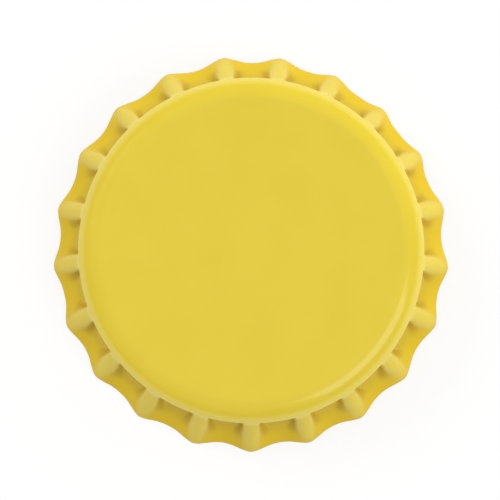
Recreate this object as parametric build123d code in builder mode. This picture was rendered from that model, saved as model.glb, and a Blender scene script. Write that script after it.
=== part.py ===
from build123d import *

import math
import os

# A crown bottle cap as it leaves the press, before it is crimped on a bottle: a fluted sheet-steel
# shell and the sealing liner moulded inside its top. Millimetres, +Z up the cap's axis, with the
# origin at the centre of the rim that the cap stands on. One ridge of the skirt points to -Y.

# Pressed shell
sheet_thickness = 0.24
cap_height = 6.0
throat_diameter = 26.75  # inside the wall under the shoulder, where the bottle's lip enters
shoulder_radius = 2.0  # outside, between the flat top and the wall
shoulder_turn = 63.5  # degrees that the shoulder turns down before the wall drops straight
rim_flare = 2.435  # from the wall out to the ridges at the rim, which makes 32.1 across the skirt

# Flutes of the skirt
flute_count = 21
first_ridge_angle = -90.0  # degrees from +X
ridge_start_drop = 0.08  # from the shoulder's edge down to where a ridge leaves the wall
ridge_inside_bend = 0.51  # radius inside the nose of a ridge
ridge_flank_angle = 62.0  # degrees between a flank of a ridge and the ridge's middle plane
rim_flute_depth = 0.57  # from ridge to valley along the radius, at the rim
wall_foot_height = 3.0  # above the rim, where the wall in the valleys turns out to the rim

# Sealing liner, with its depths measured down from the inside of the top
liner_centre_depth = 0.22
liner_land_depth = 0.40
liner_inner_bead_depth = 0.62
liner_outer_bead_depth = 0.85
liner_outer_bead_width = 1.0
liner_land_width = 2.2
liner_inner_bead_width = 1.2
liner_edge_clearance = 0.05  # between the liner's lower edge and the inside of the shoulder

# Worked out from the sizes above, with both slopes measured from upright
wall_radius = throat_diameter / 2 + sheet_thickness
rim_radius = wall_radius + rim_flare
shoulder_centre_radius = wall_radius - shoulder_radius * math.sin(math.radians(shoulder_turn))
shoulder_centre_height = cap_height - shoulder_radius
shoulder_edge_height = shoulder_centre_height + shoulder_radius * math.cos(math.radians(shoulder_turn))
ridge_slope = math.atan(rim_flare / (shoulder_edge_height - ridge_start_drop))
valley_slope = math.atan((rim_flare - rim_flute_depth) / wall_foot_height)
flank_slope = math.tan(math.radians(ridge_flank_angle))


def straight_ridge(crest_at_rim, nose_radius, root_depth, top_height):
    """Round-nosed prism along the ridge that lies over +X, from below the rim up to the top height."""
    nose_reach = nose_radius * math.cos(math.radians(ridge_flank_angle))
    nose_depth = nose_radius * (1 - math.sin(math.radians(ridge_flank_angle)))
    root_reach = nose_reach + (root_depth - nose_depth) * flank_slope
    up_ridge = Vector(-math.sin(ridge_slope), 0, math.cos(ridge_slope))
    below_rim = Vector(crest_at_rim, 0, 0) - up_ridge * sheet_thickness
    with BuildPart() as ridge:
        with BuildSketch(Plane(below_rim, x_dir=(0, -1, 0), z_dir=up_ridge)):
            with BuildLine():
                nose = ThreePointArc((-nose_reach, -nose_depth), (0, 0), (nose_reach, -nose_depth))
                Polyline(nose @ 1, (root_reach, -root_depth), (-root_reach, -root_depth), nose @ 0)
            make_face()
        extrude(amount=sheet_thickness + top_height / math.cos(ridge_slope))
    return ridge.part


def pressed_form(inset):
    """Solid behind one face of the sheet, which lies the inset's distance inside the cap's outer face."""
    top = cap_height - inset
    wall = wall_radius - inset
    round_radius = shoulder_radius - inset
    edge_height = shoulder_centre_height + math.sqrt(round_radius**2 - (wall - shoulder_centre_radius) ** 2)
    wall_foot = wall_foot_height - inset * math.tan(valley_slope / 2)
    valley_at_rim = rim_radius - rim_flute_depth - inset / math.cos(valley_slope)
    crest_at_rim = rim_radius - inset / math.cos(ridge_slope)
    deepest_flute = (crest_at_rim - wall) * math.cos(ridge_slope) - wall_foot * math.sin(ridge_slope)
    nose_radius = ridge_inside_bend + sheet_thickness - inset
    ridge = straight_ridge(crest_at_rim, nose_radius, deepest_flute + sheet_thickness, edge_height)
    with BuildPart() as form:
        # The cup: flat top, round shoulder, upright wall and the valleys' flare out to the rim
        with BuildSketch(Plane.XZ):
            with BuildLine():
                shoulder = RadiusArc((wall, edge_height), (shoulder_centre_radius, top), -round_radius)
                Polyline(shoulder @ 1, (0, top), (0, 0), (valley_at_rim, 0), (wall, wall_foot), shoulder @ 0)
            make_face()
        revolve(axis=Axis.Z)
        # The ridges, which run straight on from the shoulder and end at the rim
        with PolarLocations(0, flute_count, start_angle=first_ridge_angle):
            add(ridge)
        split(bisect_by=Plane.XY, keep=Keep.TOP)
    return form.part


# Pressed shell: the outer form, hollowed by the same form one sheet further in
outer_form = pressed_form(0)
inner_form = pressed_form(sheet_thickness)
with BuildPart() as crown_shell:
    add(outer_form)
    add(inner_form, mode=Mode.SUBTRACT)
crown_shell.part.label = "crown_shell"

# Sealing liner: a thin centre, an inner bead, the land for the bottle's lip and an outer bead, whose
# bevelled edge sits in the shoulder's round
liner_top = cap_height - sheet_thickness
outer_bead_height = liner_top - liner_outer_bead_depth
edge_reach = shoulder_radius - sheet_thickness - liner_edge_clearance
edge_drop = outer_bead_height - shoulder_centre_height
outer_bead_outside = shoulder_centre_radius + math.sqrt(edge_reach**2 - edge_drop**2)
outer_bead_inside = outer_bead_outside - liner_outer_bead_width
land_outside = outer_bead_inside - (liner_outer_bead_depth - liner_land_depth)
land_inside = land_outside - liner_land_width
centre_radius = land_inside - liner_inner_bead_width
with BuildPart() as sealing_liner:
    with BuildSketch(Plane.XZ):
        with BuildLine():
            Polyline(
                (0, liner_top),
                (0, liner_top - liner_centre_depth),
                (centre_radius, liner_top - liner_centre_depth),
                (centre_radius, liner_top - liner_inner_bead_depth),
                (land_inside, liner_top - liner_inner_bead_depth),
                (land_inside, liner_top - liner_land_depth),
                (land_outside, liner_top - liner_land_depth),
                (outer_bead_inside, outer_bead_height),
                (outer_bead_outside, outer_bead_height),
                (shoulder_centre_radius, liner_top),
                close=True,
            )
        make_face()
    revolve(axis=Axis.Z)
sealing_liner.part.label = "sealing_liner"

os.makedirs("parts", exist_ok=True)
export_step(crown_shell.part, "parts/crown_shell.step")
export_step(sealing_liner.part, "parts/sealing_liner.step")
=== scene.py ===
"""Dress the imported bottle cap: the pressed yellow shell, the sealing liner and a white studio.

The pieces are surfaces worked out as whole arrays in millimetres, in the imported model's own frame,
and put into meshes in metres. +Z is up the cap's axis and the cap stands on its rim at z = 0.
"""

import logging
import math
from dataclasses import dataclass
from enum import IntEnum

import bpy
import numpy as np
from bpy.types import Material, Mesh, Node, NodeSocket, NodeTree, Object
from mathutils import Matrix, Vector


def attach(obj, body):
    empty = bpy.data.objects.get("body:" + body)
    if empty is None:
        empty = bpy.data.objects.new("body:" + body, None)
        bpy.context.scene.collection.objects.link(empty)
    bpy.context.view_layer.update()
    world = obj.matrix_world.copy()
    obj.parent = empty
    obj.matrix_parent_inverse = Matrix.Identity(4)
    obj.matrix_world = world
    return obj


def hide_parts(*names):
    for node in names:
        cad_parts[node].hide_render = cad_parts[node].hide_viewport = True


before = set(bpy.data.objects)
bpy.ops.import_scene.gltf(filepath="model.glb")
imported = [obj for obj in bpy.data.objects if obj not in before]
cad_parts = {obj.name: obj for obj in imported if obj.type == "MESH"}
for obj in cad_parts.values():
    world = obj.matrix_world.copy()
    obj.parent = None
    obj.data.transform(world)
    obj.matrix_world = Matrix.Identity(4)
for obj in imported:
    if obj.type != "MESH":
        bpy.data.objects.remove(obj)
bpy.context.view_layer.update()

MM = 0.001
LOG = logging.getLogger("bottle_cap")

Array = np.ndarray
Colour = tuple[float, float, float, float]
WHITE: Colour = (1.0, 1.0, 1.0, 1.0)
FLOAT, COLOUR = "NodeSocketFloat", "NodeSocketColor"


class Skin(IntEnum):
    """The three faces of the pressed sheet, in the order of the shell's material slots."""

    OUTSIDE = 0
    CUT_EDGE = 1
    INSIDE = 2


# Meshes from arrays


def ring_grid_faces(rows: int, columns: int) -> Array:
    """Quads of a grid whose columns close into a ring.

    Each quad runs down one row and on by one column, so that its normal is the row direction
    crossed with the column direction.

    Args:
        rows: Number of rings of points.
        columns: Number of points in each ring.

    Returns:
        Point numbers, four for each of the (rows - 1) * columns quads.
    """
    row, column = np.meshgrid(np.arange(rows - 1), np.arange(columns), indexing="ij")
    following = (column + 1) % columns
    corners = (
        row * columns + column,
        (row + 1) * columns + column,
        (row + 1) * columns + following,
        row * columns + following,
    )
    return np.stack(corners, axis=-1).reshape(-1, 4)


def turned_rings(meridian: Array, columns: int) -> Array:
    """Rings of points of a meridian that is turned round Z.

    Args:
        meridian: Radius and height of each row.
        columns: Number of points in each ring.

    Returns:
        The points, rows by columns by three.
    """
    angle = np.arange(columns) * (2.0 * math.pi / columns)
    circle = np.stack((np.cos(angle), np.sin(angle), np.ones(columns)), axis=-1)
    return meridian[:, None, [0, 0, 1]] * circle


def pole_fan_faces(ring_start: int, columns: int, pole: int, flip: bool) -> Array:
    """Triangles that close a ring of points to one pole.

    Args:
        ring_start: Number of the ring's first point.
        columns: Number of points in the ring.
        pole: Number of the pole's point.
        flip: True where the ring is seen clockwise from outside.

    Returns:
        Point numbers, three for each triangle.
    """
    column = np.arange(columns)
    here = ring_start + column
    there = ring_start + (column + 1) % columns
    order = (there, here) if flip else (here, there)
    return np.stack((np.full(columns, pole), *order), axis=-1)


def closed_ring_mesh(name: str, rings: Array, first_pole: float, last_pole: float) -> Mesh:
    """Closed mesh of rings of points round Z, with a pole on the axis at each end.

    Args:
        name: Name of the mesh.
        rings: Points in millimetres, rows by columns by three.
        first_pole: Height of the pole before the first ring, in millimetres.
        last_pole: Height of the pole after the last ring, in millimetres.

    Returns:
        The mesh in metres, smooth, with its quads first and its two fans after them.
    """
    rows, columns, _ = rings.shape
    count = rows * columns
    poles = np.array([[0.0, 0.0, first_pole], [0.0, 0.0, last_pole]])
    points = np.concatenate((rings.reshape(-1, 3), poles)) * MM
    quads = ring_grid_faces(rows, columns)
    first = pole_fan_faces(0, columns, count, flip=False)
    last = pole_fan_faces(count - columns, columns, count + 1, flip=True)
    mesh = bpy.data.meshes.new(name)
    mesh.from_pydata(points.tolist(), [], quads.tolist() + first.tolist() + last.tolist())
    mesh.shade_smooth()
    return mesh


def point_attribute(mesh: Mesh, name: str, values: Array) -> None:
    """Give a mesh one number for each of its points, for its materials to read.

    Args:
        mesh: The mesh.
        name: Name of the attribute.
        values: One number a point.
    """
    attribute = mesh.attributes.new(name, "FLOAT", "POINT")
    attribute.data.foreach_set("value", values.astype(np.float32).ravel())


def add_piece(name: str, mesh: Mesh, node: str) -> Object:
    """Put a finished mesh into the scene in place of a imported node.

    Args:
        name: Name of the piece.
        mesh: Its mesh, already in place.
        node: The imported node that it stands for.

    Returns:
        The new object, which rides on the part's one body.
    """
    piece = bpy.data.objects.new(name, mesh)
    bpy.context.scene.collection.objects.link(piece)
    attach(piece, "root")
    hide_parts(node)
    LOG.info("%s: %d points, %d faces, stands for %s", name, len(mesh.vertices), len(mesh.polygons), node)
    return piece


@dataclass(frozen=True)
class Ease:
    """A smooth change from 0 at the start's value to 1 at the end's, which may lie above or below it."""

    start: float
    end: float

    def __call__(self, value: Array) -> Array:
        """Share of the change at each value: 3 t squared less 2 t cubed, t being how far along it is."""
        share = np.clip((value - self.start) / (self.end - self.start), 0.0, 1.0)
        return share * share * (3.0 - 2.0 * share)


def smooth_max(first: Array, second: Array, blend: Array) -> Array:
    """Larger of two surfaces, with the crease between them rounded.

    Where the two differ by less than the blend width, a quarter of the blend times the square of
    the share by which they are nearer is added to the larger one.

    Args:
        first: One surface.
        second: The other surface.
        blend: Width of the rounding, above zero.

    Returns:
        The rounded larger surface.
    """
    near = np.clip(1.0 - np.abs(first - second) / blend, 0.0, 1.0)
    return np.maximum(first, second) + near * near * blend / 4.0


def ring_normals(rings: Array) -> Array:
    """Unit normals of a ring grid: the row direction crossed with the column direction.

    Args:
        rings: Points, rows by columns by three.

    Returns:
        The normals, in the same order.
    """
    along = np.gradient(rings, axis=0)
    around = np.roll(rings, -1, axis=1) - np.roll(rings, 1, axis=1)
    normal = np.cross(along, around)
    return normal / np.linalg.norm(normal, axis=2, keepdims=True)


# Shader nodes


@dataclass
class NodeBoard:
    """A node tree that is being filled."""

    tree: NodeTree

    def add(self, kind: str, inputs: dict[str | int, object] | None = None, **settings: object) -> Node:
        """Add a node, set it and join what feeds it.

        Args:
            kind: Blender's name for the node type.
            inputs: Input names or numbers, each with a value or with the socket that feeds it.
            **settings: Properties of the node.

        Returns:
            The new node.
        """
        node = self.tree.nodes.new(kind)
        for name, value in settings.items():
            setattr(node, name, value)
        for key, value in (inputs or {}).items():
            if isinstance(value, NodeSocket):
                self.tree.links.new(value, node.inputs[key])
            else:
                node.inputs[key].default_value = value
        return node

    def math(self, operation: str, first: object, second: object) -> NodeSocket:
        """Add a Math node on two values or sockets and return its result."""
        return self.add("ShaderNodeMath", {0: first, 1: second}, operation=operation).outputs[0]

    def mix_colour(self, share: object, first: object, second: object) -> NodeSocket:
        """Add a colour Mix node and return its result."""
        mixed = self.add("ShaderNodeMix", {0: share, 6: first, 7: second}, data_type="RGBA")
        return mixed.outputs[2]

    def remap(
        self, value: object, low: float, high: float, to_low: float = 0.0, to_high: float = 1.0
    ) -> NodeSocket:
        """Add a clamped Map Range node and return its result."""
        ends = {"From Min": low, "From Max": high, "To Min": to_low, "To Max": to_high}
        return self.add("ShaderNodeMapRange", {"Value": value, **ends}).outputs["Result"]

    def noise(self, place: NodeSocket, scale: NodeSocket, detail: float) -> NodeSocket:
        """Add a Noise node and return its result."""
        grain = {"Vector": place, "Scale": scale, "Detail": detail}
        return self.add("ShaderNodeTexNoise", grain).outputs["Fac"]

    def attribute(self, name: str) -> NodeSocket:
        """Add a node that reads one of the mesh's numbers and return its result."""
        return self.add("ShaderNodeAttribute", attribute_name=name).outputs["Fac"]

    def group(self, group: NodeTree, inputs: dict[str, object]) -> Node:
        """Place a node group with its own values.

        Args:
            group: The group.
            inputs: Names of its inputs, each with its value.

        Returns:
            The new node.
        """
        node = self.tree.nodes.new("ShaderNodeGroup")
        node.node_tree = group
        for key, value in inputs.items():
            node.inputs[key].default_value = value
        return node


def new_group(name: str, inputs: dict[str, str], outputs: dict[str, str]) -> tuple[NodeBoard, dict, dict]:
    """Start a shader node group.

    Args:
        name: Name of the group.
        inputs: Names of the inputs, each with its socket type.
        outputs: Names of the outputs, each with its socket type.

    Returns:
        The group's board, its input sockets by name and its output sockets by name.
    """
    tree = bpy.data.node_groups.new(name, "ShaderNodeTree")
    for side, sockets in (("INPUT", inputs), ("OUTPUT", outputs)):
        for socket_name, socket_type in sockets.items():
            tree.interface.new_socket(socket_name, in_out=side, socket_type=socket_type)
    board = NodeBoard(tree)
    entry = board.add("NodeGroupInput")
    leave = board.add("NodeGroupOutput")
    return board, {n: entry.outputs[n] for n in inputs}, {n: leave.inputs[n] for n in outputs}


def new_material(name: str) -> tuple[Material, NodeBoard, Node]:
    """Start a material.

    Args:
        name: Name of the material.

    Returns:
        The material, its board with nothing on it and its output node.
    """
    material = bpy.data.materials.new(name)
    material.use_nodes = True
    material.node_tree.nodes.clear()
    board = NodeBoard(material.node_tree)
    return material, board, board.add("ShaderNodeOutputMaterial")


@dataclass
class SharedEffects:
    """Shader groups that more than one finish uses, each built once.

    The details count octaves of noise, the ranges are the parts of a noise over which it tells, and
    the streaks' turns are in radians.
    """

    broad_detail: float = 3.0
    fine_detail: float = 2.0
    tone_range: tuple[float, float] = (0.35, 0.65)
    streak_turns: tuple[float, float] = (0.45, -1.1)
    streak_stretch: tuple[float, float, float] = (1.0, 0.035, 0.3)
    streak_detail: float = 1.0
    streak_peaks: tuple[float, float] = (0.66, 0.76)

    def __post_init__(self) -> None:
        """Build the groups."""
        self.mottle = self.build_mottle()
        self.scuffs = self.build_scuffs()

    def build_mottle(self) -> NodeTree:
        """Uneven tone, gloss and height: a broad noise for the tone and a fine one for the rest.

        Returns:
            The group.
        """
        board, given, out = new_group(
            "uneven_coat",
            {
                "Colour": COLOUR,
                "Other Colour": COLOUR,
                "Broad Scale": FLOAT,
                "Fine Scale": FLOAT,
                "Roughness": FLOAT,
                "Roughness Spread": FLOAT,
            },
            {"Colour": COLOUR, "Roughness": FLOAT, "Height": FLOAT},
        )
        place = board.add("ShaderNodeTexCoord").outputs["Object"]
        broad = board.noise(place, given["Broad Scale"], self.broad_detail)
        fine = board.noise(place, given["Fine Scale"], self.fine_detail)
        tone = board.remap(broad, *self.tone_range)
        colour = board.mix_colour(tone, given["Colour"], given["Other Colour"])
        uneven = board.math("SUBTRACT", fine, 0.5)
        spread = board.math("MULTIPLY", uneven, given["Roughness Spread"])
        board.tree.links.new(colour, out["Colour"])
        board.tree.links.new(board.math("ADD", given["Roughness"], spread), out["Roughness"])
        board.tree.links.new(fine, out["Height"])
        return board.tree

    def build_scuffs(self) -> NodeTree:
        """Hairline scuffs: noise drawn out into streaks in two directions and cut to its peaks.

        Returns:
            The group.
        """
        board, given, out = new_group("hairline_scuffs", {"Scale": FLOAT, "Strength": FLOAT}, {"Mask": FLOAT})
        place = board.add("ShaderNodeTexCoord").outputs["Object"]
        streaks = []
        for turn in self.streak_turns:
            turned = {"Vector": place, "Rotation": (0.0, 0.0, turn), "Scale": self.streak_stretch}
            drawn = board.add("ShaderNodeMapping", turned).outputs[0]
            noise = board.noise(drawn, given["Scale"], self.streak_detail)
            streaks.append(board.remap(noise, *self.streak_peaks))
        both = board.math("MAXIMUM", *streaks)
        board.tree.links.new(board.math("MULTIPLY", both, given["Strength"]), out["Mask"])
        return board.tree


# Finishes


@dataclass(frozen=True)
class Finish:
    """A finish whose face is uneven in tone, gloss and height.

    Its two scales count patches of tone and grains to the metre, and its relief is in metres.
    """

    name: str
    colour: Colour
    other_colour: Colour
    roughness_spread: float
    broad_scale: float
    fine_scale: float
    bump: float
    roughness: float = 0.42
    bump_height: float = 0.00002
    metal: float = 0.0
    coat: float = 0.0
    coat_roughness: float = 0.03

    def material(self, effects: SharedEffects) -> Material:
        """Make the material.

        Args:
            effects: The shared shader groups.

        Returns:
            The material.
        """
        material, board, output = new_material(self.name)
        face = board.group(
            effects.mottle,
            {
                "Colour": self.colour,
                "Other Colour": self.other_colour,
                "Broad Scale": self.broad_scale,
                "Fine Scale": self.fine_scale,
                "Roughness": self.roughness,
                "Roughness Spread": self.roughness_spread,
            },
        )
        values = {
            "Base Color": face.outputs["Colour"],
            "Roughness": face.outputs["Roughness"],
            "Metallic": self.metal,
            "Coat Weight": self.coat,
            "Coat Roughness": self.coat_roughness,
            "Height": face.outputs["Height"],
        }
        self.enrich(values, board, effects)
        relief = {"Height": values.pop("Height"), "Strength": self.bump, "Distance": self.bump_height}
        values["Normal"] = board.add("ShaderNodeBump", relief).outputs[0]
        shader = board.add("ShaderNodeBsdfPrincipled", values)
        board.tree.links.new(shader.outputs[0], output.inputs["Surface"])
        return material

    def enrich(self, values: dict[str, object], board: NodeBoard, effects: SharedEffects) -> None:
        """Change the shader's values where a finish has more to it, which a plain one doesn't."""


@dataclass(frozen=True)
class YellowLacquer(Finish):
    """Gloss yellow lacquer on tinplate.

    It is paler on the shoulder's edge and along the ridges, a painted highlight; deeper in the flutes
    and darkest in the pockets beside the ridges, both painted shade; deeper towards the rim; duller in
    the flutes, on the skirt and towards the rim; and worn through along the cut.
    """

    name: str = "yellow_lacquer"
    colour: Colour = (0.755, 0.580, 0.030, 1.0)
    other_colour: Colour = (0.740, 0.563, 0.026, 1.0)
    # Painted highlight on the shoulder's edge and along the ridges
    ring_highlight_colour: Colour = (0.785, 0.618, 0.055, 1.0)
    # Painted shade in the flutes' valleys
    valley_shade_colour: Colour = (0.725, 0.522, 0.026, 1.0)
    # Painted shade in the pockets beside the ridges
    pocket_shade_colour: Colour = (0.500, 0.320, 0.016, 1.0)
    rim_colour: Colour = (0.755, 0.520, 0.014, 1.0)
    worn_colour: Colour = (0.62, 0.55, 0.34, 1.0)
    roughness: float = 0.45
    roughness_spread: float = 0.16
    broad_scale: float = 260.0
    fine_scale: float = 2600.0
    bump: float = 0.06
    bump_height: float = 0.00004
    worn_range: tuple[float, float] = (0.42, 0.62)
    worn_metal: float = 0.8
    scuff_scale: float = 900.0
    scuff_strength: float = 0.5
    scuff_roughness: float = 0.18
    under_gloss: float = 0.0
    coat: float = 1.0
    dull_coat: float = 0.25
    coat_roughness: float = 0.18

    def enrich(self, values: dict[str, object], board: NodeBoard, effects: SharedEffects) -> None:
        """Add the painted highlight, the painted shade, the rim's colour, the scuffs and the wear along the
        cut.

        Args:
            values: The shader's values, which are changed.
            board: The material's board.
            effects: The shared shader groups.
        """
        scuffs = board.group(effects.scuffs, {"Scale": self.scuff_scale, "Strength": self.scuff_strength})
        thin = board.math("MULTIPLY", board.attribute("rim_nearness"), values["Height"])
        worn = board.remap(thin, *self.worn_range)
        # In turn: painted highlight, painted shade in the valleys, painted shade in the pockets, the rim's
        # colour
        tones = {
            "ring_highlight_share": self.ring_highlight_colour,
            "valley_shade_share": self.valley_shade_colour,
            "pocket_shade_share": self.pocket_shade_colour,
            "lip_share": self.rim_colour,
        }
        colour = values["Base Color"]
        for share, tone in tones.items():
            colour = board.mix_colour(board.attribute(share), colour, tone)
        scuffed = board.math("MULTIPLY", scuffs.outputs["Mask"], self.scuff_roughness)
        dull = board.attribute("dull_share")
        values["Base Color"] = board.mix_colour(worn, colour, self.worn_colour)
        values["Roughness"] = board.math("ADD", values["Roughness"], scuffed)
        values["Metallic"] = board.math("MULTIPLY", worn, self.worn_metal)
        values["Specular IOR Level"] = self.under_gloss
        values["Coat Weight"] = board.remap(dull, 0.0, 1.0, self.coat, self.dull_coat)


@dataclass(frozen=True)
class BareSteelEdge(Finish):
    """Bare steel where the blank was punched out of its sheet."""

    name: str = "bare_steel_edge"
    colour: Colour = (0.60, 0.59, 0.57, 1.0)
    other_colour: Colour = (0.42, 0.41, 0.39, 1.0)
    roughness_spread: float = 0.3
    broad_scale: float = 1800.0
    fine_scale: float = 9000.0
    bump: float = 0.3
    metal: float = 1.0


@dataclass(frozen=True)
class ClearLacquer(Finish):
    """Tinplate under the thin clear lacquer of the cap's inside, warm and lightly scuffed."""

    name: str = "clear_lacquer_inside"
    colour: Colour = (0.80, 0.77, 0.69, 1.0)
    other_colour: Colour = (0.76, 0.73, 0.64, 1.0)
    scuff_colour: Colour = (0.86, 0.84, 0.79, 1.0)
    roughness: float = 0.26
    roughness_spread: float = 0.08
    broad_scale: float = 420.0
    fine_scale: float = 1500.0
    bump: float = 0.04
    scuff_scale: float = 1300.0
    scuff_strength: float = 0.35
    metal: float = 0.92
    coat: float = 0.35
    coat_roughness: float = 0.12

    def enrich(self, values: dict[str, object], board: NodeBoard, effects: SharedEffects) -> None:
        """Add the scuffs' colour to the shader's values."""
        scuffs = board.group(effects.scuffs, {"Scale": self.scuff_scale, "Strength": self.scuff_strength})
        values["Base Color"] = board.mix_colour(scuffs.outputs[0], values["Base Color"], self.scuff_colour)


@dataclass(frozen=True)
class LinerCompound(Finish):
    """Soft milky compound of the liner: whiter where it is thick, with fine rings from its mould."""

    name: str = "liner_compound"
    colour: Colour = (0.76, 0.75, 0.70, 1.0)
    other_colour: Colour = (0.71, 0.70, 0.65, 1.0)
    thin_colour: Colour = (0.64, 0.63, 0.58, 1.0)
    roughness_spread: float = 0.15
    broad_scale: float = 300.0
    fine_scale: float = 3000.0
    bump: float = 0.12
    bump_height: float = 0.00004
    thin_range_mm: tuple[float, float] = (0.20, 0.50)
    ring_pitch_mm: float = 0.22
    ring_height: float = 0.35
    depth_share: float = 0.35
    depth_radius: tuple[float, float, float] = (0.0008, 0.0008, 0.0007)

    def enrich(self, values: dict[str, object], board: NodeBoard, effects: SharedEffects) -> None:
        """Add the thin parts, the light inside and the rings, a sine of the distance from the axis.

        Args:
            values: The shader's values, which are changed.
            board: The material's board.
            effects: The shared shader groups, not used here.
        """
        thin = board.remap(board.attribute("thickness_mm"), *self.thin_range_mm, 1.0, 0.0)
        place = board.add("ShaderNodeTexCoord").outputs["Object"]
        flat = board.add("ShaderNodeVectorMath", {0: place, 1: (1.0, 1.0, 0.0)}, operation="MULTIPLY")
        length = board.add("ShaderNodeVectorMath", {0: flat.outputs[0]}, operation="LENGTH")
        per_metre = 2.0 * math.pi / (self.ring_pitch_mm * MM)
        turns = board.math("MULTIPLY", length.outputs["Value"], per_metre)
        rings = board.math("MULTIPLY", board.math("SINE", turns, 0.0), self.ring_height)
        values["Base Color"] = board.mix_colour(thin, values["Base Color"], self.thin_colour)
        values["Height"] = board.math("ADD", rings, values["Height"])
        values["Subsurface Weight"] = self.depth_share
        values["Subsurface Radius"] = self.depth_radius
        values["Subsurface Scale"] = 1.0


# The cap's two pieces


@dataclass(frozen=True)
class LacquerMap:
    """Where the lacquer outside looks different: painted highlight, painted shade, the rim's colour and
    dullness.

    Heights and depths behind the ridges are in millimetres and tilts in degrees from level. A share of
    the depth is taken of the deepest point in the same row. Each Ease says over which of them a look
    comes in.
    """

    wear_reach: float = 0.10
    # Painted shade in the valleys, by share of the depth, and lighter bars between them that narrow downwards
    least_depth: float = 0.45
    valley_shading: Ease = Ease(0.10, 0.58)
    narrowing: Ease = Ease(3.4, 0.9)
    narrowed: float = 0.5
    # Painted shade in the pockets beside a ridge, which clears in the valley's middle
    pocket_side: Ease = Ease(0.30, 0.70)
    pocket_middle: Ease = Ease(0.86, 0.99)
    pocket_cleared: float = 0.65
    pocket_foot: Ease = Ease(1.1, 2.3)
    pocket_top: Ease = Ease(4.75, 4.3)
    pocket_strength: float = 0.75
    # Painted highlight where the sheet is steep, most of all in the ring at the shoulder's edge
    highlight_tilt: Ease = Ease(38.0, 52.0)
    off_ridge: Ease = Ease(0.02, 0.30)
    ring: Ease = Ease(4.3, 4.9)
    highlight_on_bars: float = 0.15
    highlight_foot: Ease = Ease(0.6, 2.2)
    # The rim's colour, lower on a ridge's top, and the dull skirt
    ridge_top: Ease = Ease(0.05, 0.30)
    lip: Ease = Ease(1.8, 0.3)
    lip_drop: float = 0.5
    skirt: Ease = Ease(4.9, 4.2)
    skirt_dull: float = 0.6

    def shares(self, level: Array, depth: Array, tilt: Array) -> dict[str, Array]:
        """Share of each look at each point, as products of the eased changes that it depends on.

        Args:
            level: Height of each point, rows by columns.
            depth: Depth of each point behind the ridges.
            tilt: Tilt of the face at each point.

        Returns:
            The shares, from 0 to 1, by the names that the lacquer reads them by.
        """
        share = depth / np.maximum(depth.max(axis=1, keepdims=True), self.least_depth)
        # Painted shade in the valleys
        shaded_valley = self.valley_shading(share * (1.0 + self.narrowed * self.narrowing(level)))
        # Painted shade in the pockets beside a ridge
        pocket = self.pocket_side(share) * (1.0 - self.pocket_cleared * self.pocket_middle(share))
        pocket = self.pocket_strength * pocket * self.pocket_foot(level) * self.pocket_top(level)
        kept = self.highlight_on_bars + (1.0 - self.highlight_on_bars) * self.ring(level)
        # Painted highlight on steep faces, strongest in the ring at the shoulder's edge
        thin = self.highlight_tilt(tilt) * (1.0 - self.off_ridge(depth)) * kept * self.highlight_foot(level)
        lip = self.lip(level + self.lip_drop * (1.0 - self.ridge_top(depth)))
        dull = np.maximum(np.maximum(shaded_valley, self.skirt_dull * self.skirt(level)), lip)
        return {
            "valley_shade_share": shaded_valley,
            "pocket_shade_share": pocket,
            "ring_highlight_share": thin,
            "lip_share": lip,
            "dull_share": dull,
        }


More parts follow.
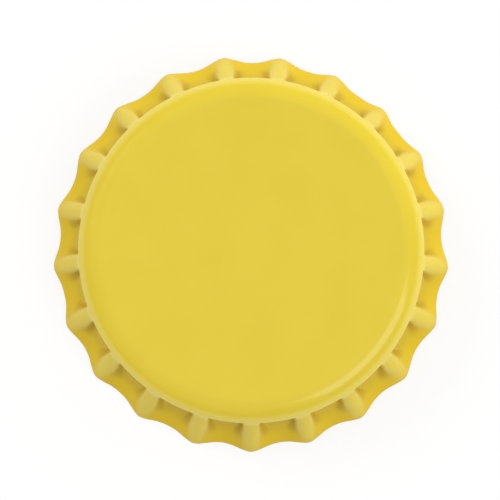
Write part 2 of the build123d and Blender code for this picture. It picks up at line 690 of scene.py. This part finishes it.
@dataclass
class PressedShell:
    """The pressed sheet: flat top, round shoulder, upright wall and fluted skirt.

    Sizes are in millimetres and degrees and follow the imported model. The valleys leave the wall by an
    arc and run straight on to the rim, and the creases beside the ridges are rounded, as drawn sheet is.
    """

    # The cup
    thickness: float = 0.24
    height: float = 6.0
    wall_radius: float = 13.615
    shoulder_radius: float = 2.0
    shoulder_turn: float = 63.5
    edge_bend: float = 0.45
    rim_radius: float = 16.048
    flare_start: float = 3.6
    flare_turn: float = 36.0
    edge_round: float = 0.03
    # The ridges, from the bar under the shoulder to the tooth at the rim
    flute_count: int = 21
    first_ridge: float = -90.0
    ridge_start: float = 4.812
    ridge_overlap: float = 0.1
    rim_flute_depth: float = 0.60
    bar_half_width: float = 0.62
    bar_edge_bend: float = 0.16
    bar_flank: float = 2.0
    bar_crown_radius: float = 2.6
    tooth_half_width: float = 0.22
    tooth_bend: float = 0.34
    tooth_flank: float = 0.40
    turning: Ease = Ease(0.30, 1.0)
    crowning: Ease = Ease(0.0, 0.22)
    least_reach: float = 0.6
    # Width of the rounding in the creases, by height
    least_fill: float = 0.003
    root_fill: float = 0.15
    root_levels: Ease = Ease(4.93, 4.70)
    crease_fill: float = 0.12
    crease_levels: Ease = Ease(4.6, 3.2)
    lip_fill: float = 0.10
    lip_levels: Ease = Ease(1.2, 0.2)
    # What use and chance did to the ridges
    chance_seed: int = 7
    reach_spread: float = 0.06
    turn_spread: float = 0.35
    pressed_in: float = 0.13
    pressed_in_angle: float = 47.0
    pressed_in_width: float = 22.0
    # Rows and columns of the mesh
    columns_per_flute: int = 36
    column_bunching: float = 0.45
    flat_shares: tuple[float, ...] = (0.04, 0.3, 0.6, 0.85, 0.97)
    shoulder_rows: int = 18
    bend_rows: int = 7
    wall_rows: int = 9
    flare_rows: int = 29
    edge_rows: int = 9
    fine_inner_rows: int = 10
    side_passes: int = 5
    end_passes: int = 3

    def profile(self) -> tuple[Array, Array, Array]:
        """Meridian of the plain cup, from near the top's centre to the rim.

        Straight out over the top, round the shoulder's arc, round the tight bend at its edge, down
        the wall, and then by shares of the height from the flare's start to the rim.

        Returns:
            Radius and height of each row above the flare, and the share down the flare of each row
            on it.
        """
        turn = math.radians(self.shoulder_turn)
        edge = math.pi / 2 - turn
        slack = self.edge_bend * (1.0 - math.cos(edge))
        centre = self.wall_radius - slack - self.shoulder_radius * math.cos(edge)
        middle = self.height - self.shoulder_radius
        flat = centre * np.array(self.flat_shares)
        sweep = np.linspace(math.pi / 2, edge, self.shoulder_rows)
        bend = np.linspace(edge, 0.0, self.bend_rows)[1:]
        bend_centre = centre + (self.shoulder_radius - self.edge_bend) * math.cos(edge)
        bend_middle = middle + (self.shoulder_radius - self.edge_bend) * math.sin(edge)
        wall = np.linspace(bend_middle, self.flare_start, self.wall_rows)[1:]
        stretches = (
            (flat, np.full(len(flat), self.height)),
            (centre + self.shoulder_radius * np.cos(sweep), middle + self.shoulder_radius * np.sin(sweep)),
            (bend_centre + self.edge_bend * np.cos(bend), bend_middle + self.edge_bend * np.sin(bend)),
            (np.full(len(wall), self.wall_radius), wall),
        )
        radius, level = np.concatenate(stretches, axis=1)
        return radius, level, np.linspace(0.0, 1.0, self.flare_rows)[1:]

    def flare(self, level: Array, end_level: Array) -> Array:
        """Radius of the valleys: an arc that leaves the wall upright, then a straight run to the rim.

        The arc turns out by the flare's angle and the run goes on at that slope. The arc's radius is
        the one that brings the run's end to the rim: the drop times the slope, less the reach, over
        the sine times the tangent less one minus the cosine.

        Args:
            level: Height of each point, not above the flare's start.
            end_level: Height at which the outside ends, one for each column.

        Returns:
            Radius of the valleys at each point.
        """
        turn = math.radians(self.flare_turn)
        reach = self.rim_radius - self.rim_flute_depth - self.wall_radius
        span = math.sin(turn) * math.tan(turn) - (1.0 - math.cos(turn))
        bend = ((self.flare_start - end_level) * math.tan(turn) - reach) / span
        drop = self.flare_start - level
        on_arc = np.minimum(drop, bend * math.sin(turn))
        run = (drop - on_arc) * math.tan(turn)
        return self.wall_radius + bend - np.sqrt(bend**2 - on_arc**2) + run

    def ridge_slope(self, end_level: Array) -> Array:
        """Run of a ridge's crest outwards over its drop, one for each column."""
        return (self.rim_radius - self.wall_radius) / (self.ridge_start - end_level)

    def chances(self) -> tuple[Array, Array]:
        """How far each ridge ends short and how far it is turned, by chance and by use.

        A few ridges next to each other are pressed in by a bell curve of the angle. The first ridge
        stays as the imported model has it.

        Returns:
            Shortfall of each ridge at the rim in millimetres, and its turn in radians.
        """
        random = np.random.default_rng(self.chance_seed)
        ridge_angle = self.first_ridge + np.arange(self.flute_count) * (360.0 / self.flute_count)
        from_dent = (ridge_angle - self.pressed_in_angle + 180.0) % 360.0 - 180.0
        shortfall = self.reach_spread * random.random(self.flute_count)
        shortfall[0] = 0.0
        dent = self.pressed_in * np.exp(-((from_dent / self.pressed_in_width) ** 2))
        twist = np.radians(self.turn_spread * (2.0 * random.random(self.flute_count) - 1.0))
        twist[0] = 0.0
        return shortfall + dent, twist

    def ridges(self, angle: Array, level: Array, end_level: Array) -> Array:
        """Radius of the two ridges nearest to each point, whichever stands out further.

        Under the shoulder a ridge is a bar with a slightly crowned face and steep flanks, and on its
        way down it turns into a broad tooth. It falls off to each side by a hyperbola that is level
        over the face and then as steep as the flank: half the flank's slope times the sum of the step
        past the face's edge and the root of that step squared plus the edge's bend squared. The side
        step is the radius times the sine of the angle from the ridge, found in a few passes.

        Args:
            angle: Angle round the axis of each point.
            level: Height of each point.
            end_level: Height at which the outside ends, one for each column.

        Returns:
            Radius of the ridges at each point.
        """
        shortfall, twist = self.chances()
        pitch = 2.0 * math.pi / self.flute_count
        slope = self.ridge_slope(end_level)
        down = np.clip((self.ridge_start - level) / (self.ridge_start - end_level), 0.0, 1.0)
        turned = self.turning(down)
        crowned = (1.0 - turned) * self.crowning(down)
        half_width = self.bar_half_width + turned * (self.tooth_half_width - self.bar_half_width)
        bend = self.bar_edge_bend + turned * (self.tooth_bend - self.bar_edge_bend)
        flank = self.bar_flank * (self.tooth_flank / self.bar_flank) ** turned
        level_part = np.hypot(half_width, bend) - half_width
        below = np.floor((angle - math.radians(self.first_ridge)) / pitch)
        found = np.zeros_like(level)
        for step in (0, 1):
            number = (below + step).astype(int) % self.flute_count
            aside = angle - math.radians(self.first_ridge) - (below + step) * pitch - twist[number]
            crest = self.rim_radius - slope * (level - end_level) - shortfall[number] * down
            radius = crest
            for _ in range(self.side_passes):
                side = np.abs(radius * np.sin(aside))
                past = side - half_width
                fall = 0.5 * flank * (past + np.hypot(past, bend) - level_part)
                crown = np.minimum(side, half_width) ** 2 / (2.0 * self.bar_crown_radius)
                fall = fall + crowned * crown
                radius = (crest - fall * np.hypot(1.0, slope)) / np.cos(aside)
                radius = np.maximum(radius, self.least_reach * crest)
            found = np.maximum(found, radius)
        return found

    def outer_rings(self, end_level: Array) -> Array:
        """Points of the outside, rows by columns by three.

        The columns lie closer on the ridges' flanks: a sine of twice the flute's turn is added to the
        even spacing.

        Args:
            end_level: Height at which the outside ends, one for each column.

        Returns:
            The points, from near the top's centre down to the rim.
        """
        columns = self.flute_count * self.columns_per_flute
        flute = np.arange(columns) / self.columns_per_flute
        flute = flute + self.column_bunching * np.sin(4.0 * math.pi * flute) / (4.0 * math.pi)
        angle = math.radians(self.first_ridge) + flute * (2.0 * math.pi / self.flute_count)
        radius, level, shares = self.profile()
        above = np.repeat(level[:, None], columns, axis=1)
        below = self.flare_start + shares[:, None] * (end_level[None, :] - self.flare_start)
        heights = np.concatenate((above, below))
        upper = np.repeat(radius[:, None], columns, axis=1)
        cup = np.concatenate((upper, self.flare(below, end_level)))
        angles = np.broadcast_to(angle, heights.shape)
        fill = (
            self.least_fill
            + self.root_fill * self.root_levels(heights)
            + self.crease_fill * self.crease_levels(heights)
            - self.lip_fill * self.lip_levels(heights)
        )
        skirt = smooth_max(cup, self.ridges(angles, heights, end_level), fill)
        reach = np.where(heights < self.ridge_start + self.ridge_overlap, skirt, cup)
        return np.stack((reach * np.cos(angles), reach * np.sin(angles), heights), axis=-1)

    def cut_edge(self, outer: Array, inner: Array) -> Array:
        """Points of the cut edge, straight across the sheet with a slight bulge.

        The thickness's share s gives 1 - (2 s - 1)^4 of the bulge.

        Args:
            outer: Points of the outside.
            inner: Points of the inside.

        Returns:
            The points between the two ends, rows by columns by three.
        """
        onward = outer[-1] - outer[-2]
        onward /= np.linalg.norm(onward, axis=1, keepdims=True)
        share = np.linspace(0.0, 1.0, self.edge_rows)[1:-1, None, None]
        bulge = self.edge_round * (1.0 - (2.0 * share - 1.0) ** 4)
        edge = outer[-1] + share * (inner[-1] - outer[-1]) + bulge * onward
        edge[..., 2] = np.maximum(edge[..., 2], 0.0)
        return edge

    def paint(self, mesh: Mesh, rings: Array, outer: Array, end_level: Array) -> None:
        """Give the mesh the numbers that its lacquer reads: nearness to the rim for wear, and the shares of
        painted highlight, painted shade, the rim's colour and dullness.

        Args:
            mesh: The sheet's mesh.
            rings: All its points but the poles, rows by columns by three.
            outer: Points of the outside, which come first in it.
            end_level: Height at which the outside ends, one for each column.
        """
        where = LacquerMap()
        to_rim = np.linalg.norm(rings[len(outer) - 1][None] - rings, axis=2)
        nearness = np.exp(-to_rim / where.wear_reach).ravel()
        point_attribute(mesh, "rim_nearness", np.concatenate((nearness, [0.0, 0.0])))
        level = outer[..., 2]
        crest = self.rim_radius - self.ridge_slope(end_level) * (level - end_level)
        behind = crest - np.hypot(outer[..., 0], outer[..., 1])
        depth = np.where(level < self.ridge_start, behind, 0.0)
        tilt = np.degrees(np.arccos(np.clip(ring_normals(outer)[..., 2], -1.0, 1.0)))
        rest = np.zeros(len(mesh.vertices) - level.size)
        for name, share in where.shares(level, depth, tilt).items():
            point_attribute(mesh, name, np.concatenate((share.ravel(), rest)))

    def build(self) -> Object:
        """Build the sheet as one closed mesh: outside, cut edge and inside.

        The inside is the outside moved in by the thickness along its normals. The outside ends at
        the height that puts the inside's end on the floor. Away from the rim the inside keeps every
        second row.

        Returns:
            The piece.
        """
        columns = self.flute_count * self.columns_per_flute
        end_level = np.full(columns, 0.5 * self.thickness)
        for _ in range(self.end_passes):
            outer = self.outer_rings(end_level)
            end_level = self.thickness * ring_normals(outer)[-1, :, 2] + self.edge_round
        outer = self.outer_rings(end_level)
        inner = outer - self.thickness * ring_normals(outer)
        inner[-1, :, 2] = np.maximum(inner[-1, :, 2], 0.0)
        edge = self.cut_edge(outer, inner)
        fine = self.fine_inner_rows
        back = inner[::-1][np.r_[0:fine, fine : len(inner) : 2]]
        rings = np.concatenate((outer, edge, back))
        mesh = closed_ring_mesh("pressed_shell", rings, self.height, self.height - self.thickness)
        skin = np.full(len(rings) - 1, Skin.INSIDE)
        skin[: len(outer) - 1] = Skin.OUTSIDE
        skin[len(outer) - 1 : len(outer) + len(edge)] = Skin.CUT_EDGE
        ends = np.repeat([Skin.OUTSIDE, Skin.INSIDE], columns)
        slots = np.concatenate((np.repeat(skin, columns), ends)).astype(np.int32)
        mesh.polygons.foreach_set("material_index", slots)
        self.paint(mesh, rings, outer, end_level)
        return add_piece("pressed_shell", mesh, "crown_shell")

    def dress(self, piece: Object, effects: SharedEffects) -> None:
        """Give the sheet's three faces their finishes.

        Args:
            piece: The built piece.
            effects: The shared shader groups.
        """
        finishes = {
            Skin.OUTSIDE: YellowLacquer(),
            Skin.CUT_EDGE: BareSteelEdge(),
            Skin.INSIDE: ClearLacquer(),
        }
        for skin in Skin:
            piece.data.materials.append(finishes[skin].material(effects))
            LOG.info("%s: %s is %s", piece.name, skin.name.lower(), type(finishes[skin]).__name__)


@dataclass
class SealingLiner:
    """The moulded liner: thin centre, inner bead, land for the bottle's lip and outer bead.

    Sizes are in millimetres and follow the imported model, with every corner rounded.
    """

    top: float = 5.75
    top_radius: float = 11.80
    centre_depth: float = 0.22
    inner_bead_depth: float = 0.62
    land_depth: float = 0.40
    outer_bead_depth: float = 0.84
    centre_radius: float = 8.42
    land_inside: float = 9.62
    land_outside: float = 11.82
    outer_bead_inside: float = 12.27
    outer_bead_outside: float = 13.26
    bead_draft: float = 0.12
    corner: float = 0.16
    corner_share: float = 0.45
    corner_rows: int = 8
    first_ring: float = 0.3
    columns: int = 288

    def profile(self) -> Array:
        """Closed meridian from the top's centre, out, down and back in under to the axis.

        Each corner of the outline is replaced by a quadratic curve that starts and ends the corner
        length away from it, or less where the outline's side is short.

        Returns:
            Radius and height of each row.
        """
        outline = np.array(
            [
                (self.first_ring, 0.0),
                (self.top_radius, 0.0),
                (self.outer_bead_outside, self.outer_bead_depth),
                (self.outer_bead_inside, self.outer_bead_depth),
                (self.land_outside, self.land_depth),
                (self.land_inside, self.land_depth),
                (self.land_inside - self.bead_draft, self.inner_bead_depth),
                (self.centre_radius + self.bead_draft, self.inner_bead_depth),
                (self.centre_radius, self.centre_depth),
                (self.first_ring, self.centre_depth),
            ]
        )
        outline[:, 1] = self.top - outline[:, 1]
        corner, before, after = outline[1:-1], outline[:-2], outline[2:]
        back, onward = before - corner, after - corner
        back_length = np.linalg.norm(back, axis=1, keepdims=True)
        onward_length = np.linalg.norm(onward, axis=1, keepdims=True)
        start = corner + back * np.minimum(self.corner / back_length, self.corner_share)
        end = corner + onward * np.minimum(self.corner / onward_length, self.corner_share)
        share = np.linspace(0.0, 1.0, self.corner_rows)[None, :, None]
        curves = (
            (1 - share) ** 2 * start[:, None]
            + 2 * share * (1 - share) * corner[:, None]
            + share**2 * end[:, None]
        )
        return np.concatenate((outline[:1], curves.reshape(-1, 2), outline[-1:]))

    def build(self) -> Object:
        """Build the liner as its meridian turned about the axis.

        Returns:
            The piece.
        """
        rings = turned_rings(self.profile(), self.columns)
        mesh = closed_ring_mesh("moulded_liner", rings, self.top, self.top - self.centre_depth)
        depth = np.concatenate((self.top - rings[..., 2].ravel(), [0.0, self.centre_depth]))
        point_attribute(mesh, "thickness_mm", depth)
        return add_piece("moulded_liner", mesh, "sealing_liner")

    def dress(self, piece: Object, effects: SharedEffects) -> None:
        """Give the liner its finish.

        Args:
            piece: The built piece.
            effects: The shared shader groups.
        """
        piece.data.materials.append(LinerCompound().material(effects))
        LOG.info("%s: all over is %s", piece.name, LinerCompound.__name__)


# The studio


@dataclass(frozen=True)
class SoftLight:
    """One oblong area light that faces the cap.

    Attributes:
        name: Name of the light.
        azimuth: Degrees from +X towards +Y.
        elevation: Degrees above the floor.
        distance: Metres from the cap.
        width: Metres along its level side.
        height: Metres along its other side.
        level: Share of a white surface's brightness that it gives when it shines straight on it.
        mirrored: True where glossy surfaces show it.
    """

    name: str
    azimuth: float
    elevation: float
    distance: float
    width: float
    height: float
    level: float
    mirrored: bool = False

    def build(self) -> Object:
        """Hang the light.

        Returns:
            The light.
        """
        turn, rise = math.radians(self.azimuth), math.radians(self.elevation)
        across = math.cos(rise)
        towards = Vector((math.cos(turn) * across, math.sin(turn) * across, math.sin(rise)))
        lamp = bpy.data.lights.new(self.name, "AREA")
        lamp.shape = "RECTANGLE"
        lamp.size, lamp.size_y = self.width, self.height
        lamp.energy = self.level * math.pi**2 * self.distance**2
        light = bpy.data.objects.new(self.name, lamp)
        light.visible_glossy = self.mirrored
        light.location = towards * self.distance
        light.rotation_euler = towards.to_track_quat("Z", "Y").to_euler()
        bpy.context.scene.collection.objects.link(light)
        LOG.info("%s: %.2f W", self.name, lamp.energy)
        return light


LIGHTS = (
    SoftLight("window_light", 64.0, 4.0, distance=0.5, width=0.7, height=0.07, level=0.543),
    SoftLight("right_light", 0.0, 4.0, distance=0.5, width=0.35, height=0.07, level=0.20),
    SoftLight("side_light", 150.0, 35.0, distance=0.5, width=0.3, height=0.2, level=0.30),
    SoftLight("soft_card", -38.0, 45.0, 0.4, width=0.28, height=0.20, level=0.25, mirrored=True),
)


@dataclass
class Studio:
    """White floor, soft even light and the camera almost straight above the cap.

    Attributes:
        lights: The area lights.
        sky_level: Brightness of the soft light from all round, at the horizon.
        zenith_level: What is added to it straight above and below.
        floor_opening: Radius in metres of the opening under the cap that lets light in from below.
        floor_radius: Metres from the cap to the foot of the floor's upturned edge.
        floor_edge: Height of that edge in metres.
        floor_drop: Metres from the rim down to the floor.
        floor_white: Share of plain white in the floor's look, over the shadow it keeps.
        floor_return: Share of the light on the floor that it throws back onto the cap.
        camera_distance: Metres from the cap's rim.
        camera_tilt: Degrees that the camera leans from straight above towards -Y.
        camera_lean: Degrees that it leans towards -X.
        camera_near: Metres within which the camera sees nothing.
        view_width_mm: Width of what the camera sees at the rim.
        view_centre_mm: Place at the rim that lies in the middle of the picture.
    """

    lights: tuple[SoftLight, ...] = LIGHTS
    sky_level: float = 0.445
    zenith_level: float = 0.473
    floor_opening: float = 0.0148
    floor_radius: float = 0.8
    floor_edge: float = 0.11
    floor_drop: float = 0.00002
    floor_white: float = 0.75
    floor_return: float = 0.62
    floor_columns: int = 96
    flat_rows: int = 6
    edge_rows: int = 9
    camera_distance: float = 0.163
    camera_tilt: float = 3.1
    camera_lean: float = 0.3
    camera_near: float = 0.01
    view_width_mm: float = 40.5
    view_centre_mm: tuple[float, float] = (-0.08, 0.24)

    def build(self) -> None:
        """Build the floor, the sky, the lights and the camera."""
        self.build_floor()
        self.build_sky()
        for light in self.lights:
            light.build()
        self.build_camera()

    def build_floor(self) -> None:
        """Lay the floor, a wide dish with the opening in its middle.

        It is flat out to the foot of its edge, which is a quarter circle up.
        """
        bend = np.linspace(0.0, math.pi / 2, self.edge_rows)
        flat = np.geomspace(self.floor_opening, 0.5 * self.floor_radius, self.flat_rows)
        radius = np.concatenate((flat, self.floor_radius + self.floor_edge * np.sin(bend)))
        rise = np.concatenate((0.0 * flat, self.floor_edge * (1.0 - np.cos(bend))))
        rings = turned_rings(np.stack((radius, rise - self.floor_drop), axis=-1), self.floor_columns)
        faces = ring_grid_faces(len(radius), self.floor_columns)
        mesh = bpy.data.meshes.new("floor")
        mesh.from_pydata(rings.reshape(-1, 3).tolist(), [], faces.tolist())
        mesh.shade_smooth()
        floor = bpy.data.objects.new("floor", mesh)
        bpy.context.scene.collection.objects.link(floor)
        mesh.materials.append(self.floor_material())

    def floor_material(self) -> Material:
        """Make the floor white to the eye and in reflections, with the cap's shadow, clear from below.

        Returns:
            The material.
        """
        material, board, output = new_material("white_floor")
        path = board.add("ShaderNodeLightPath").outputs
        seen = board.math("MAXIMUM", path["Is Camera Ray"], path["Is Glossy Ray"])
        seen = board.math("MAXIMUM", seen, path["Is Transmission Ray"])
        thrown = (self.floor_return, self.floor_return, self.floor_return, 1.0)
        tone = board.mix_colour(seen, thrown, WHITE)
        paper = board.add("ShaderNodeBsdfDiffuse", {"Color": tone}).outputs[0]
        white = board.add("ShaderNodeEmission", {"Color": WHITE, "Strength": 1.0}).outputs[0]
        share = board.math("MULTIPLY", seen, self.floor_white)
        above = board.add("ShaderNodeMixShader", {0: share, 1: paper, 2: white}).outputs[0]
        clear = board.add("ShaderNodeBsdfTransparent").outputs[0]
        behind = board.add("ShaderNodeNewGeometry").outputs["Backfacing"]
        both = board.add("ShaderNodeMixShader", {0: behind, 1: above, 2: clear}).outputs[0]
        board.tree.links.new(both, output.inputs["Surface"])
        return material

    def build_sky(self) -> None:
        """Light the scene from all round, stronger from above and below by the height squared."""
        world = bpy.data.worlds.new("studio")
        world.use_nodes = True
        world.node_tree.nodes.clear()
        board = NodeBoard(world.node_tree)
        towards = board.add("ShaderNodeTexCoord").outputs["Generated"]
        height = board.add("ShaderNodeSeparateXYZ", {0: towards}).outputs["Z"]
        raised = board.math("MULTIPLY", board.math("MULTIPLY", height, height), self.zenith_level)
        strength = board.math("ADD", raised, self.sky_level)
        sky = board.add("ShaderNodeBackground", {"Color": WHITE, "Strength": strength})
        output = board.add("ShaderNodeOutputWorld")
        board.tree.links.new(sky.outputs[0], output.inputs["Surface"])
        bpy.context.scene.world = world

    def build_camera(self) -> None:
        """Stand the camera at the picture's angle, with a long lens that frames the cap."""
        tilt, lean = math.radians(self.camera_tilt), math.radians(self.camera_lean)
        towards = Vector((-math.sin(lean), -math.sin(tilt), math.cos(tilt))).normalized()
        middle = Vector((*self.view_centre_mm, 0.0)) * MM
        data = bpy.data.cameras.new("camera")
        data.lens = data.sensor_width * self.camera_distance / (self.view_width_mm * MM)
        data.clip_start = self.camera_near
        camera = bpy.data.objects.new("camera", data)
        camera.location = middle + towards * self.camera_distance
        side = Vector((0.0, 1.0, 0.0)).cross(towards).normalized()
        turned = Matrix((side, towards.cross(side), towards)).transposed()
        camera.rotation_euler = turned.to_euler()
        bpy.context.scene.collection.objects.link(camera)
        bpy.context.scene.camera = camera
        bpy.context.scene.view_settings.view_transform = "Standard"


def main() -> None:
    """Build the cap's pieces and the studio, in order."""
    logging.basicConfig(level=logging.INFO, format="%(name)s: %(message)s")
    effects = SharedEffects()
    for part in (PressedShell(), SealingLiner()):
        part.dress(part.build(), effects)
    Studio().build()


if __name__ == "__main__":
    main()
